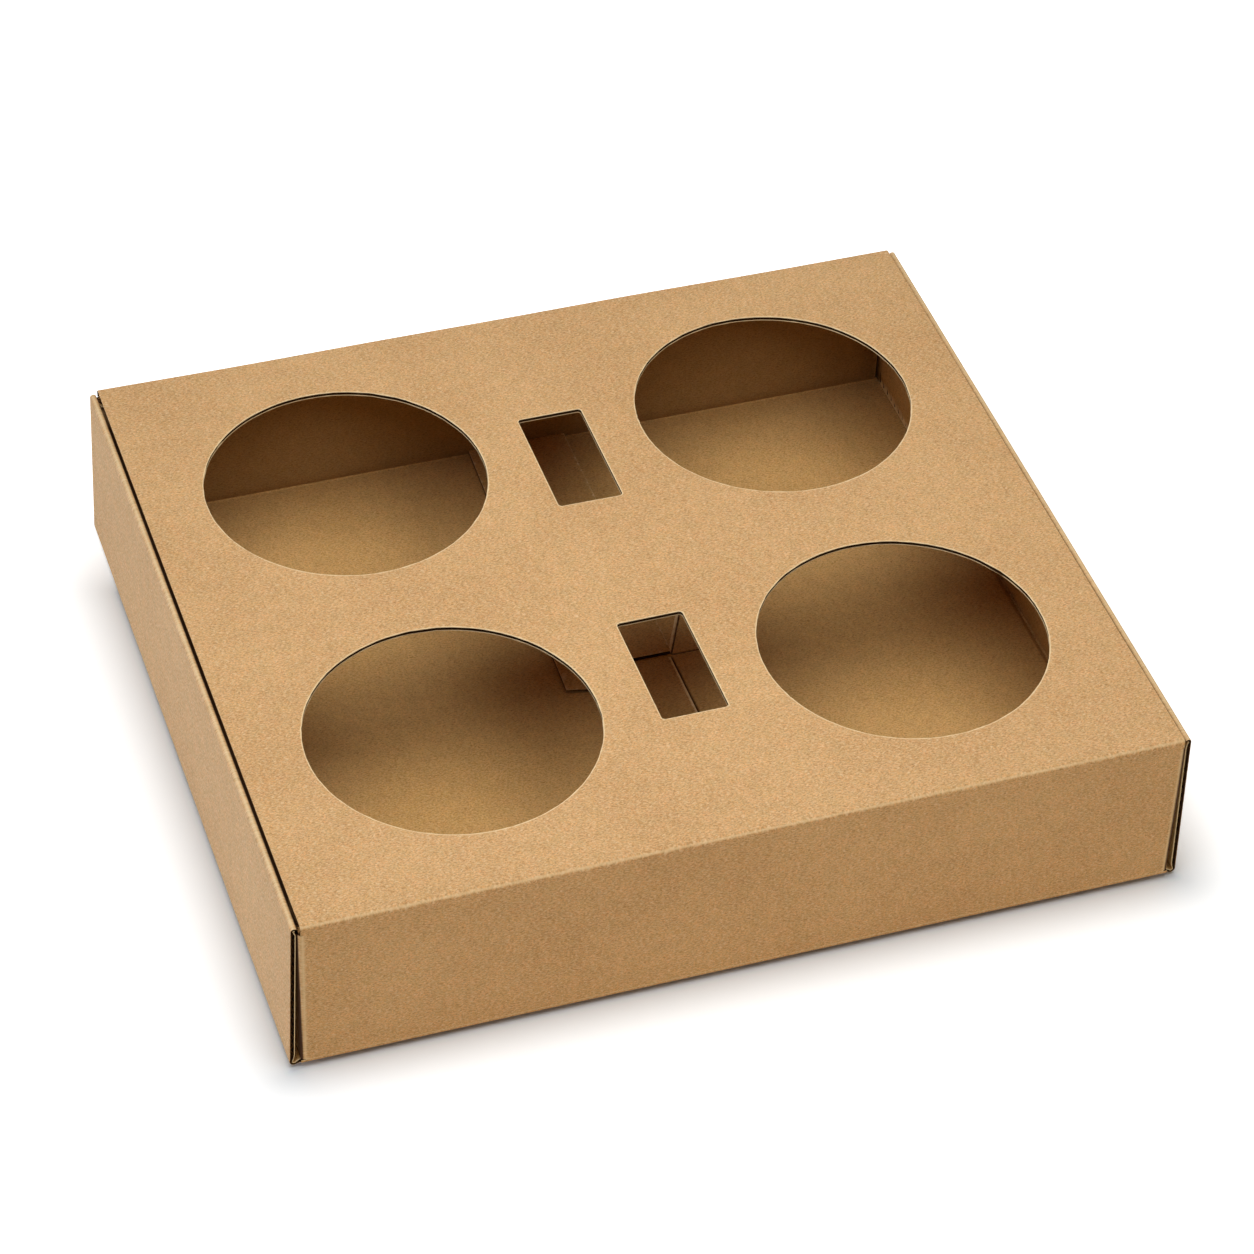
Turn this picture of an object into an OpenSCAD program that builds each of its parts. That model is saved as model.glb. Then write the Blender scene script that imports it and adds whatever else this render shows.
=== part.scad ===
// Cup carrier folded from one sheet of kraft corrugated board.
// A flat sleeve with four cup holes and two finger slots in its top panel, closed at both ends
// by flaps that hinge on the bottom panel and tuck in under the top panel.
// Millimetres, +Z up, +X to the right along the front, origin at the bottom centre.

/* [Board] */
// Thickness of the corrugated board
board_t = 1.5; // [1:0.1:3]
// Inner radius of every fold
fold_r = 0.5; // [0.2:0.1:2]

/* [Sleeve] */
// Width of the top, front and back panels, left to right
sleeve_w = 246; // [235:1:300]
// Depth over the front and back panels
sleeve_d = 226; // [220:1:280]
// Height over the top and bottom panels
sleeve_h = 51; // [36:1:90]

/* [Cup holes] */
// Diameter of a cup hole
hole_d = 80.5; // [60:0.5:90]
// Shift of a hole towards the middle, from halfway between a finger slot and the panel's side
hole_in_x = 2; // [-3:0.25:3]
// Shift of a hole towards the middle, from halfway between the middle and the panel's front or back
hole_in_y = 3.5; // [0:0.25:8]

/* [Finger slots] */
// Width of a finger slot, left to right
slot_w = 19; // [12:0.5:26]
// Length of a finger slot, front to back
slot_len = 40; // [26:0.5:60]
// Distance between the two slot centres
slot_pitch = 91.5; // [75:0.5:110]
// Corner radius of a finger slot
slot_r = 1; // [0.5:0.5:5]

/* [End flaps] */
// Gap between an end flap and the sleeve's corner at the bottom
end_gap_low = 1.5; // [0.8:0.1:3]
// Gap between an end flap and the sleeve's corner at the top
end_gap_high = 0.6; // [0.4:0.1:0.8]
// Setback of an end flap's front and back edges from the sleeve's faces
flap_setback = 1; // [0:0.5:4]
// Length of the tongue that tucks in under the top panel
tuck_len = 16; // [8:1:18]
// Gap between the tongue and the front and back panels
tuck_side_gap = 1.5; // [0.5:0.1:4]
// Narrowing of the tongue at each end, from its fold to its tip
tuck_taper = 7; // [0:0.5:15]
// Corner radius of the tongue's tip
tuck_corner_r = 5; // [1:0.5:7]
// Room that the tongue keeps from the top panel as the flap swings
swing_gap = 0.4; // [0.3:0.1:1]
// Gap across the score line on which an end flap hinges
hinge_gap = 0.4; // [0.3:0.1:0.6]

/* [Dust flaps] */
// Length of a dust flap, from the front or back panel inwards
dust_len = 60; // [30:1:95]
// Corner radius of a dust flap's free end
dust_corner_r = 10; // [2:1:14]
// Gap between a dust flap and the tongue above it
dust_gap_high = 1; // [0.5:0.1:4]
// Gap between a dust flap and the bottom panel
dust_gap_low = 1; // [0.3:0.1:4]

/* [Floor] */
// Width of the lap glued down on the bottom panel, at its front
lap_w = 34; // [20:1:60]
// Distance from the carrier's middle to the lap's middle, to the right
lap_shift = 3; // [-20:0.5:20]
// Length of the lap from the back panel's inner face
lap_len = 102.5; // [40:0.5:180]
// Narrowing of the lap along its left edge, from its front to the back panel
lap_taper = 3.8; // [0:0.1:8]
// Width of the tab at the left of the lap's front edge
lap_tab_w = 16; // [8:1:18]
// Length of that tab at its left
lap_tab_len = 7.5; // [2:0.5:15]
// Slant of the tab's front edge, in degrees
lap_tab_slant = 11; // [0:1:15]
// Depth of the three creases pressed into the bottom panel, which meet near the lap's front right corner
crease_depth = 0.4; // [0.2:0.1:0.6]
// Distance from that corner at which the creases end
crease_gap = 1; // [0.6:0.1:3]
// Length of the short crease, which slants to the back right
crease_len = 37; // [20:1:40]
// Angle of the short crease, from the crease to the right end
crease_angle = 64; // [30:1:75]

/* [Hidden] */
$fn = 64;

kraft = "#c49a6c";
// Past a face, for a clean cut
cut = 1;

// Outer radius of every fold, and the angle by which a fold runs on into its panels
fold_out = fold_r + board_t;
fold_lead = 20;
// Direction of the mitre between the bottom panel and an end flap
mitre = 225;
half_w = sleeve_w / 2;
half_d = sleeve_d / 2;
// Height of the top panel's underside
top_under = sleeve_h - board_t;

// Centre of the hole at the back right
hole_x = (half_w + slot_w / 2) / 2 - hole_in_x;
hole_y = half_d / 2 - hole_in_y;

// The hinge of an end flap: the outer edge of the bottom panel, half_base from the middle
end_room = board_t + end_gap_low;
half_base = half_w + end_room;
flap_w = sleeve_d - 2 * flap_setback;

// An end flap leans in from its hinge, by the difference of its two gaps
flap_lean = asin((end_gap_low - end_gap_high) / top_under);
// All of a flap's tongue stays inside this radius about the hinge, so that it swings clear
swing_r = norm([end_room, top_under]) - swing_gap;
// Height along the flap at which its top fold starts
flap_h = sqrt(pow(swing_r - fold_out, 2) - pow(fold_out, 2));
// The tongue droops so that it is a chord of the swing circle
tuck_droop = asin((tuck_len / 2 + fold_out) / flap_h);
// Distance from the hinge to the tongue's upper face
tuck_r = fold_out * sin(tuck_droop) + flap_h * cos(tuck_droop) + fold_out;
// Width of the tongue at its fold
tuck_w = sleeve_d - 2 * board_t - 2 * tuck_side_gap;
// Distance from the hinge at which the tongue begins, and that of its tip
tuck_root = end_room - end_gap_high / 2;
tuck_tip = flap_h * sin(flap_lean) + fold_out + tuck_len * cos(tuck_droop + flap_lean);
// Slope of the tongue's two ends
tuck_slope = atan(tuck_taper / (tuck_tip - tuck_root));

dust_low = board_t + dust_gap_low;
dust_high = tuck_r - board_t - dust_gap_high;

lap_back = half_d - board_t;
lap_front = lap_back - lap_len;
crease_x = lap_shift + lap_w / 2;

// Rectangle with round corners, centred
module round_rect(w, h, r) {
    square([w - 2 * r, h], center = true);
    square([w, h - 2 * r], center = true);
    for (x = [-1, 1], y = [-1, 1])
        translate([x * (w / 2 - r), y * (h / 2 - r)])
            circle(r);
}

// Section of the sleeve: top, front, bottom and back panels with their folds
module sleeve_section() {
    difference() {
        round_rect(sleeve_d, sleeve_h, fold_out);
        round_rect(sleeve_d - 2 * board_t, sleeve_h - 2 * board_t, fold_r);
    }
}

// Section of a fold, filled: the part of its outer circle between two directions
module fold_sector(from, to) {
    reach = 2 * fold_out;
    steps = 6;
    intersection() {
        circle(fold_out);
        polygon(concat(
            [[0, 0]],
            [for (i = [0:steps]) let (a = from + (to - from) * i / steps) reach * [cos(a), sin(a)]]
        ));
    }
}

// What parts an end flap from the bottom panel: a strip along the mitre of their fold.
// The hinge is at the origin, x runs inwards and y up; side is -1 on the flap, 1 on the panel.
module mitre_cut(side) {
    translate([fold_out, fold_out])
        rotate(mitre)
            translate([0, -side * (fold_out - hinge_gap) / 2])
                square([4 * fold_out, fold_out], center = true);
}

// Section of an end flap upright on its hinge: outer faces less inner faces, past the tongue's tip
module flap_section() {
    difference() {
        union() {
            translate([fold_out, fold_out])
                fold_sector(180 - fold_lead, mitre);
            translate([0, fold_out])
                square([fold_out, flap_h - fold_out]);
            translate([fold_out, flap_h]) {
                fold_sector(90 - tuck_droop - fold_lead, 180 + fold_lead);
                rotate(-tuck_droop)
                    square([tuck_len + cut, fold_out]);
            }
        }
        for (y = [fold_out, flap_h])
            translate([fold_out, y])
                circle(fold_r);
        translate([board_t, fold_out])
            square([fold_out, flap_h - fold_out]);
        translate([fold_out, flap_h])
            rotate(-tuck_droop)
                translate([0, -cut])
                    square([tuck_len + 2 * cut, fold_r + cut]);
        mitre_cut(-1);
    }
}

// Section of the bottom panel's margin, from the score line inwards
module margin_section() {
    difference() {
        union() {
            translate([fold_out, fold_out])
                fold_sector(mitre, 270 + fold_lead);
            translate([fold_out, 0])
                square([end_room - fold_out + cut, fold_out]);
        }
        translate([fold_out, fold_out])
            circle(fold_r);
        translate([fold_out, board_t])
            square([end_room + cut, fold_out]);
        mitre_cut(1);
    }
}

// Plan of an end flap: full width over the panel, narrower over the tongue, whose tip is rounded
module flap_plan() {
    tip_y = tuck_w / 2 - tuck_taper;
    round_x = tuck_tip - tuck_corner_r;
    round_y = tip_y + tuck_corner_r * (tan(tuck_slope) - 1 / cos(tuck_slope));
    steps = 10;
    back = concat(
        [for (i = [0:steps]) let (a = (90 - tuck_slope) * i / steps)
            [round_x, round_y] + tuck_corner_r * [cos(a), sin(a)]],
        [[tuck_root, tuck_w / 2], [tuck_root, flap_w / 2], [-cut, flap_w / 2]]
    );
    front = [for (i = [len(back) - 1:-1:0]) [back[i][0], -back[i][1]]];
    polygon(concat(front, back));
}

// The left end flap, tucked in
module end_flap() {
    translate([-half_base, 0, 0])
        intersection() {
            rotate([90, 0, 0])
                linear_extrude(flap_w, center = true)
                    rotate(-flap_lean)
                        flap_section();
            translate([0, 0, -cut])
                linear_extrude(sleeve_h + 2 * cut)
                    flap_plan();
        }
}

// The bottom panel's left margin, past the sleeve's end, up to the score line
module base_margin() {
    translate([-half_base, 0, 0])
        rotate([90, 0, 0])
            linear_extrude(flap_w, center = true)
                margin_section();
}

// Outline of a dust flap: length from the panel it hinges on, height from the floor
module dust_outline() {
    h = dust_high - dust_low;
    translate([0, dust_low]) {
        square([dust_len - dust_corner_r, h]);
        translate([0, dust_corner_r])
            square([dust_len, h - 2 * dust_corner_r]);
        for (y = [dust_corner_r, h - dust_corner_r])
            translate([dust_len - dust_corner_r, y])
                circle(dust_corner_r);
    }
}

// The dust flap at the front left
module dust_flap() {
    translate([-half_w, -half_d, 0])
        rotate([90, 0, 90])
            linear_extrude(board_t)
                dust_outline();
}

// What rounds the upright fold at the front left: the corner outside its outer radius
module upright_fold_cut() {
    translate([-half_w, -half_d, fold_out])
        linear_extrude(sleeve_h - 2 * fold_out)
            difference() {
                translate([-cut, -cut])
                    square(fold_out + cut);
                translate([fold_out, fold_out])
                    circle(fold_out);
            }
}

// The four corners from the one at the front left
module each_corner() {
    for (x = [0, 1], y = [0, 1])
        mirror([x, 0, 0])
            mirror([0, y, 0])
                children();
}

module cup_holes() {
    for (x = [-1, 1], y = [-1, 1])
        translate([x * hole_x, y * hole_y, top_under - cut])
            cylinder(d = hole_d, h = board_t + 2 * cut);
}

module finger_slots() {
    for (y = [-1, 1])
        translate([0, y * slot_pitch / 2, top_under - cut])
            linear_extrude(board_t + 2 * cut)
                round_rect(slot_w, slot_len, slot_r);
}

// The lap glued down on the bottom panel, in one with the board under it
module floor_lap() {
    left = lap_shift - lap_w / 2;
    back = lap_back + board_t / 2;
    tab_front = lap_front - lap_tab_len;
    translate([0, 0, board_t / 2])
        linear_extrude(1.5 * board_t)
            polygon([
                [left + lap_taper, back],
                [left, tab_front],
                [left + lap_tab_w, tab_front - lap_tab_w * tan(lap_tab_slant)],
                [left + lap_tab_w, lap_front],
                [crease_x, lap_front],
                [crease_x, back]
            ]);
}

// A crease pressed into the bottom panel, along y from the origin
module crease(len) {
    side = crease_depth * sqrt(2);
    rotate([0, 45, 0])
        translate([-side / 2, 0, -side / 2])
            cube([side, len, side]);
}

// The creases from the lap's front right corner: to the front panel, to the right end and a short one.
// The short one starts further off, clear of the lap's edge.
module floor_creases() {
    front = board_t - half_d + fold_r;
    translate([crease_x, front, board_t])
        crease(lap_front - crease_gap - front);
    translate([half_w, lap_front, board_t])
        rotate(90)
            crease(half_w - crease_x - crease_gap);
    translate([crease_x, lap_front, board_t])
        rotate(crease_angle - 90)
            translate([0, 2 * crease_gap, 0])
                crease(crease_len - 2 * crease_gap);
}

module carton_sleeve() {
    color(kraft)
        difference() {
            union() {
                rotate([90, 0, 90])
                    linear_extrude(sleeve_w, center = true)
                        translate([0, sleeve_h / 2])
                            sleeve_section();
                for (x = [0, 1])
                    mirror([x, 0, 0])
                        base_margin();
                each_corner()
                    dust_flap();
                floor_lap();
            }
            each_corner()
                upright_fold_cut();
            cup_holes();
            finger_slots();
            floor_creases();
        }
}

module left_end_flap() {
    color(kraft)
        end_flap();
}

module right_end_flap() {
    color(kraft)
        mirror([1, 0, 0])
            end_flap();
}

carton_sleeve();
left_end_flap();
right_end_flap();
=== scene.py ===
import math

import bmesh
import bpy
import numpy as np
from mathutils import Matrix, Vector
from mathutils.geometry import delaunay_2d_cdt


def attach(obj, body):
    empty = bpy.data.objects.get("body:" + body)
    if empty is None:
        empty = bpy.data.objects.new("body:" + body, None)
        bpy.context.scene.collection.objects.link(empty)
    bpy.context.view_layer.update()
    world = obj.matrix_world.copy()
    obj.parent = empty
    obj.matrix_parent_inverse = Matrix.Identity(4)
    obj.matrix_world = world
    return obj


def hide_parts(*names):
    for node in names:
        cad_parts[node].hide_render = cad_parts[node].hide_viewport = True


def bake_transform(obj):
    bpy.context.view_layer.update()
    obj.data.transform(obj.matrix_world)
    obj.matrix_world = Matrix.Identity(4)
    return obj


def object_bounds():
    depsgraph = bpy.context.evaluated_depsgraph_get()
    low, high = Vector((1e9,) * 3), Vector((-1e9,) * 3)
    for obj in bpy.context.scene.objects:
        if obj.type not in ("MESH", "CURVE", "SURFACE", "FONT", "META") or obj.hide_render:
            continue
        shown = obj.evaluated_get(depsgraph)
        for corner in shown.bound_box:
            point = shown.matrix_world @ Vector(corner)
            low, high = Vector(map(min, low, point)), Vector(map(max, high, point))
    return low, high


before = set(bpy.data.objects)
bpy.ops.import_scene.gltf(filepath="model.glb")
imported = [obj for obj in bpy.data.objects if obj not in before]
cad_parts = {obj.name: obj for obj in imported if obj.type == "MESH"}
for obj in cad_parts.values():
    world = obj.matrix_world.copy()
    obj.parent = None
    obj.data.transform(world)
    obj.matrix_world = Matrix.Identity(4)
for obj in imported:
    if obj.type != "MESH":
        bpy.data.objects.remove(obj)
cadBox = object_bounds()
print("frame loaded:", sorted(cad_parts))

# All lengths are millimetres until a mesh is made
metre = 0.001
uvUnit = 100.0  # one UV unit on the sheet
tiny = 1e-6
slack = 0.1  # when points are told apart by panel

carton = {
    "width": 246.0,  # of the bottom, front and back panels
    "lidWidth": 244.6,  # of the top panel between its two raw edges
    "depth": 226.0,
    "height": 51.0,
    "board": 1.5,
    "linerPaper": 0.2,
    "foldRadius": 1.3,  # outside, of the four long folds
    "uprightRadius": 1.2,  # outside, of the dust flaps' folds
    "score": 0.55,  # share of the thickness left where a fold is scored
    "scoreReach": 1.6,  # over which the board thins beside a fold
    "foldSteps": 7,
    "grid": 6.0,  # spacing of points inside panels, along walls, along edges and at small forms
    "wallGrid": 4.0,
    "edgeGrid": 5.0,
    "fineGrid": 3.0,
    "arcPoints": 9,
}
board = carton["board"]
radius = carton["foldRadius"]
halfW = carton["width"] / 2
halfD = carton["depth"] / 2
lidHalf = carton["lidWidth"] / 2
uprightR = carton["uprightRadius"]
foldSteps = carton["foldSteps"]
grid, wallGrid, edgeGrid, fineGrid = (carton[k] for k in ("grid", "wallGrid", "edgeGrid", "fineGrid"))
arcPoints = carton["arcPoints"]


# Right-hand side of a heading
def rightOf(angle):
    return np.stack((np.sin(angle), -np.cos(angle)), -1)


# A path is a row of flats and bends and carries the board's outer face; a bend to the left has that
# face outside, one to the right has it inside
def makePath(start, heading, steps):
    path, at, angle, q = [], np.array(start, float), math.radians(heading), 0.0
    for kind, size, *bendRadius in steps:
        bend = kind == "bend"
        turn = math.radians(size) if bend else 0.0
        r = math.copysign(bendRadius[0] if bendRadius else radius, turn)
        length = abs(turn * (r - board / 2)) if bend else size
        path.append({"from": q, "length": length, "at": at, "angle": angle, "turn": turn, "radius": r})
        if bend:
            at = at + r * (rightOf(angle + turn) - rightOf(angle))
        else:
            at = at + length * np.array((math.cos(angle), math.sin(angle)))
        angle += turn
        q += length
    return path


def followPath(path, q):
    point = np.zeros((len(q), 2))
    normal = np.zeros((len(q), 2))
    which = np.maximum(np.searchsorted([leg["from"] for leg in path], q, side="right") - 1, 0)
    for i, leg in enumerate(path):
        inside = which == i
        t = q[inside] - leg["from"]
        side = rightOf(leg["angle"] + leg["turn"] * t / leg["length"])
        if leg["turn"]:
            point[inside] = leg["at"] + leg["radius"] * (side - rightOf(leg["angle"]))
        else:
            heading = np.array((math.cos(leg["angle"]), math.sin(leg["angle"])))
            point[inside] = leg["at"] + t[:, None] * heading
        normal[inside] = side
    return point, normal


# Share of the board's thickness: less at a fold and just beside it; loop is a closed path's length
def scoredThickness(path, q, loop=0.0):
    thick = np.ones(len(q))
    for leg in path:
        for lap in (-loop, 0.0, loop) if leg["turn"] > 0 else ():
            away = np.maximum(leg["from"] + lap - q, q - leg["from"] - lap - leg["length"])
            ramp = np.clip(away / carton["scoreReach"], 0, 1)
            thick = np.minimum(thick, carton["score"] + (1 - carton["score"]) * ramp)
    return thick


# The sleeve's section, from the foot of the back panel over the top and down the front
topFlat = carton["depth"] - 2 * radius
sideFlat = carton["height"] - 2 * radius
ring = makePath((halfD, radius), 90, [("flat", sideFlat), ("bend", 90), ("flat", topFlat), ("bend", 90)] * 2)
around = ring[-1]["from"] + ring[-1]["length"]
topStart, frontStart, floorStart = (ring[i]["from"] for i in (2, 4, 6))
longFolds = [leg["from"] for leg in ring if leg["turn"]]
bendLength = ring[1]["length"]


# Place on the ring of a point given by its height or by its y
def onFront(z):
    return frontStart + carton["height"] - radius - z


def onBack(z):
    return z - radius


def onTop(y):
    return topStart + halfD - radius - y


def onFloor(y):
    return floorStart + y + halfD - radius


def ringGap(s, at):
    away = np.abs(s - at)
    return np.minimum(away, around - away)


# The dust flaps turn in at the upright edges; their folds run between two slits
dustFlap = {
    "length": 60.0, "low": 2.5, "high": 45.0, "radius": 10.0,
    "foldLow": 1.8, "foldHigh": 48.0, "slit": 0.2,
}
dustLow, dustHigh, dustR = (dustFlap[k] for k in ("low", "high", "radius"))
foldLow, foldHigh = dustFlap["foldLow"], dustFlap["foldHigh"]
slitLow, slitHigh = foldLow - dustFlap["slit"], foldHigh + dustFlap["slit"]
bentFrom = halfW - uprightR
cornerPath = makePath(
    (bentFrom, -halfD), 0, [("bend", 90, uprightR), ("flat", dustFlap["length"] - uprightR)],
)
cornerLength = cornerPath[0]["length"]
bendEnd = bentFrom + cornerLength
dustTip = bendEnd + dustFlap["length"] - uprightR
cornerCols = list(np.linspace(bentFrom, bendEnd, foldSteps + 1))


# Which points are on an upright panel, and which of those lie level with the dust flaps' folds
def wallPlaces(point, normal):
    z = point[:, 1]
    upright = np.abs(normal[:, 1]) < 1e-9
    return upright, upright & (z > foldLow - slack) & (z < foldHigh + slack)


# Slow unevenness of a hand-folded panel, none on the floor: height, and length across and along
unevenness = {"slow": (0.10, 31, 27), "quick": (0.06, 13, 19), "fade": 20}


def panelWave(u, s):
    high, wide, long = unevenness["slow"]
    wave = high * np.sin(u / wide + 0.7) * np.sin(s / long + 0.4)
    high, wide, long = unevenness["quick"]
    wave = wave + high * np.sin(u / wide + s / long + 2.1)
    fromEnds = (floorStart - bendLength - s) / unevenness["fade"], s / unevenness["fade"]
    return wave * np.clip(fromEnds[0], 0, 1) * np.clip(fromEnds[1], 0, 1)


# Lines pressed into the floor, each from one point to another: groove depth and raised lip on its left
floorLines = [
    {"from": (20.0, -110.0), "to": (20.0, 8.6), "depth": 0.9, "lip": 0.3, "half": 0.42},
    {"from": (20.6, 9.0), "to": (40.0, 9.0), "depth": 0.6, "lip": 0.0, "half": 0.4},
    {"from": (20.4, 9.6), "to": (37.0, 43.0), "depth": 0.6, "lip": 0.12, "half": 0.4},
]
lineForm = {
    "offsets": (-1.6, -0.85, -0.42, 0.0, 0.42, 0.8),  # of its rows of points, to its right
    "lipAt": -0.85,
    "lipHalf": 0.75,
    "paleAt": -0.64,  # where a lip gets a painted highlight
    "paleHalf": 0.3,
    "paleGap": 0.1,  # as if this close to a cut
    "paleLip": 0.1,  # lower lips get no painted highlight
    # half width of the painted shade at the bottom of a groove
    "darkHalf": 0.2,
    "clear": 3.0,  # kept free of the panel's grid
    "crushed": 2.4,  # flutes flattened this far beside it
}


# Distance across a floor line, to its right, and a share that falls to 0 at its ends
def lineFrame(line, x, y):
    start, end = np.array(line["from"]), np.array(line["to"])
    length = math.dist(start, end)
    ahead = (end - start) / length
    along = (x - start[0]) * ahead[0] + (y - start[1]) * ahead[1]
    across = (x - start[0]) * ahead[1] - (y - start[1]) * ahead[0]
    return across, np.clip(np.minimum(along, length - along), 0, 1)


def floorDepth(u, s):
    shift = np.zeros(len(u))
    onBottom = (s > floorStart) & (s < floorStart + topFlat)
    for line in floorLines:
        across, fade = lineFrame(line, u, s - onFloor(0))
        groove = -line["depth"] * np.clip(1 - np.abs(across) / line["half"], 0, 1)
        lip = line["lip"] * np.clip(1 - np.abs(across - lineForm["lipAt"]) / lineForm["lipHalf"], 0, 1)
        shift += np.where(onBottom, fade * (groove + lip), 0)
    return shift


# Sheet place (u across, s round the sleeve, d below the outer face) to space
def sleevePlace(u, s, d):
    point, normal = followPath(ring, s % around)
    thick = scoredThickness(ring, s % around, around)
    level = np.zeros(len(u))
    out = np.stack((u, point[:, 0], point[:, 1]), 1)
    face = np.stack((level, normal[:, 0], normal[:, 1]), 1)
    out += face * panelWave(u, s)[:, None]
    folded = wallPlaces(point, normal)[1]
    thick = np.where(folded, np.minimum(thick, scoredThickness(cornerPath, np.abs(u) - bentFrom)), thick)
    bent = folded & (np.abs(u) > bentFrom + tiny)
    if bent.any():
        side = np.sign(u[bent])
        front = -normal[bent, 0]
        p, n = followPath(cornerPath, np.abs(u[bent]) - bentFrom)
        out[bent] = np.stack((side * p[:, 0], front * p[:, 1], point[bent, 1]), 1)
        face[bent] = np.stack((side * n[:, 0], front * n[:, 1], level[bent]), 1)
        out[bent] += face[bent] * panelWave(side * bentFrom, s[bent])[:, None]
    return out - face * (d * thick)[:, None], face


# Flat patches of the sheet
def gridPatch(us, ss):
    points = [(u, s) for s in ss for u in us]
    n = len(us)
    faces = [
        (j * n + i, j * n + i + 1, (j + 1) * n + i + 1, (j + 1) * n + i)
        for j in range(len(ss) - 1)
        for i in range(n - 1)
    ]
    return points, faces


def filledPatch(loops, extra, inside=lambda c: True, lines=()):
    points, edges = [], []
    for loop in loops:
        n = len(points)
        points += loop
        edges += [(n + i, n + (i + 1) % len(loop)) for i in range(len(loop))]
    for line in lines:
        edges += [(len(points) + i, len(points) + i + 1) for i in range(len(line) - 1)]
        points += line
    points += extra
    out = delaunay_2d_cdt([Vector(p) for p in points], edges, [], 0, 1e-5)
    corners = [tuple(p) for p in out[0]]
    faces = [tuple(f) for f in out[2] if inside(np.mean([corners[i] for i in f], 0))]
    return corners, faces


# Outline of a panel from its columns and its sides' rows
def panelBorder(cols, half, sides, lo, hi):
    border = [(u, lo) for u in cols] + [(half, s) for s in sides]
    return border + [(u, hi) for u in cols[::-1]] + [(-half, s) for s in sides[::-1]]


# Joins patches into one sheet; wrap is the length after which the sheet meets itself
def joinPatches(patches, wrap=None):
    index, points, faces, faceUv = {}, [], [], []
    for corners, patchFaces in patches:
        local = []
        for u, s in corners:
            w = s % wrap if wrap and abs(s - wrap) < 1e-4 else s
            key = (round(u * 500), round(w * 500))  # points within 2 microns are one
            if key not in index:
                index[key] = len(points)
                points.append((u, w))
            local.append(index[key])
        for f in patchFaces:
            g = [local[i] for i in f]
            if len(set(g)) == len(g):
                faces.append(g)
                faceUv.append([corners[i] for i in f])
    return {"points": np.array(points), "faces": faces, "uv": faceUv}


# Gives a sheet its own place on the UV map, and turns it over where asked
def mapSheet(sheet, place, over=False):
    step = -1 if over else 1
    sheet["uv"] = [[place(*c) for c in face][::step] for face in sheet["uv"]]
    sheet["faces"] = [face[::step] for face in sheet["faces"]]
    return sheet


def outlineEdges(faces):
    seen = {}
    for n, f in enumerate(faces):
        for k in range(len(f)):
            a, b = f[k], f[(k + 1) % len(f)]
            key = (min(a, b), max(a, b))
            seen[key] = None if key in seen else (a, b, n, k)
    return [e for e in seen.values() if e]


edgeFinish = {
    "rings": (0.16, 0.5, 1.6),  # of points beside a cut
    "paleReach": 0.7,
    "press": 0.1,  # by which a cut is squeezed in
    "wobble": 0.05,
    "cutUv": 0.3,  # width of a cut on the UV map
    "wearHighlightReach": 0.1,
    "wearHighlightAt": (0.5, 0.5, -0.35, 1.35),  # share of each long fold where its wear and painted highlight sit; the lower ones have them where the walls begin
    "rawLess": 0.35,  # by which less of a raw side, a dust flap or the lap shows pale
    "dustLess": 0.25,
    "lapLess": 0.2,
}
rims = edgeFinish["rings"]


# Pale cut edges: the cut fibres' own lighter tone with a painted highlight, fading over paleReach
def paleCut(gap):
    return np.clip(1 - np.maximum(gap, 0) / edgeFinish["paleReach"], 0, 1)


# Mesh from points in millimetres, with the sheet's own UV map and marks on its points
def sheetMesh(name, points, faces, uv, marks):
    mesh = bpy.data.meshes.new(name)
    mesh.from_pydata((points * metre).tolist(), [], faces)
    flat = np.array([c for f in uv for c in f]) / uvUnit
    mesh.uv_layers.new(name="sheet").data.foreach_set("uv", flat.astype(np.float32).ravel())
    for key, values in marks.items():
        kind, field = ("FLOAT", "value") if values.ndim == 1 else ("FLOAT_VECTOR", "vector")
        mark = mesh.attributes.new(key, kind, "POINT")
        mark.data.foreach_set(field, values.astype(np.float32).ravel())
    return mesh


# Smooth faces, with edges hard above an angle
def hardenEdges(mesh, degrees, outwards=False):
    bm = bmesh.new()
    bm.from_mesh(mesh)
    if outwards:
        bmesh.ops.recalc_face_normals(bm, faces=bm.faces)
    for f in bm.faces:
        f.smooth = True
    for e in bm.edges:
        e.smooth = e.is_manifold and e.calc_face_angle(0) < math.radians(degrees)
    bm.to_mesh(mesh)
    bm.free()


def linkObject(name, data):
    item = bpy.data.objects.new(name, data)
    bpy.context.scene.collection.objects.link(item)
    return item


# One paper of the board: a closed shell between two depths
def linerShell(sheet, place, depths, marks, shift=None, pull=None):
    u, s = sheet["points"].T
    u = pull(u, s) if pull else u
    n = len(u)
    upper = depths[0] < board / 2
    pale = marks["cutEdgeHighlight"]
    deeper = edgeFinish["press"] * pale * (1 if upper else -1) + (shift(u, s) if shift else 0)
    points = np.concatenate([place(u, s, d + deeper)[0] for d in depths])
    faces = sheet["faces"] + [[n + i for i in reversed(f)] for f in sheet["faces"]]
    uv = sheet["uv"] + [c[::-1] for c in sheet["uv"]]
    for a, b, f, k in outlineEdges(sheet["faces"]):
        faces.append([b, a, n + a, n + b])
        corners = sheet["uv"][f]
        p, q = corners[k], corners[(k + 1) % len(corners)]
        uv.append([q, p] + [(c[0] + edgeFinish["cutUv"], c[1] + edgeFinish["cutUv"]) for c in (p, q)])
    # Painted shade: the side towards the flutes is dark, apart from the cut itself
    cut = np.where(pale > 0.9, 1.0, 0.0)
    sides = [(pale, marks["shade"]), (cut, (1 - cut) * marks.get("fluteShadeShare", 1.0))]
    cuts, shades = zip(*(sides if upper else sides[::-1]))
    both = {"cutEdgeHighlight": np.concatenate(cuts), "foldWearHighlight": np.tile(marks["foldWearHighlight"], 2)}
    both["shade"] = np.concatenate(shades)
    return points, faces, uv, both


def spaced(a, b, step):
    return list(np.linspace(a, b, max(2, int(round(abs(b - a) / step)) + 1)))


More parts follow.
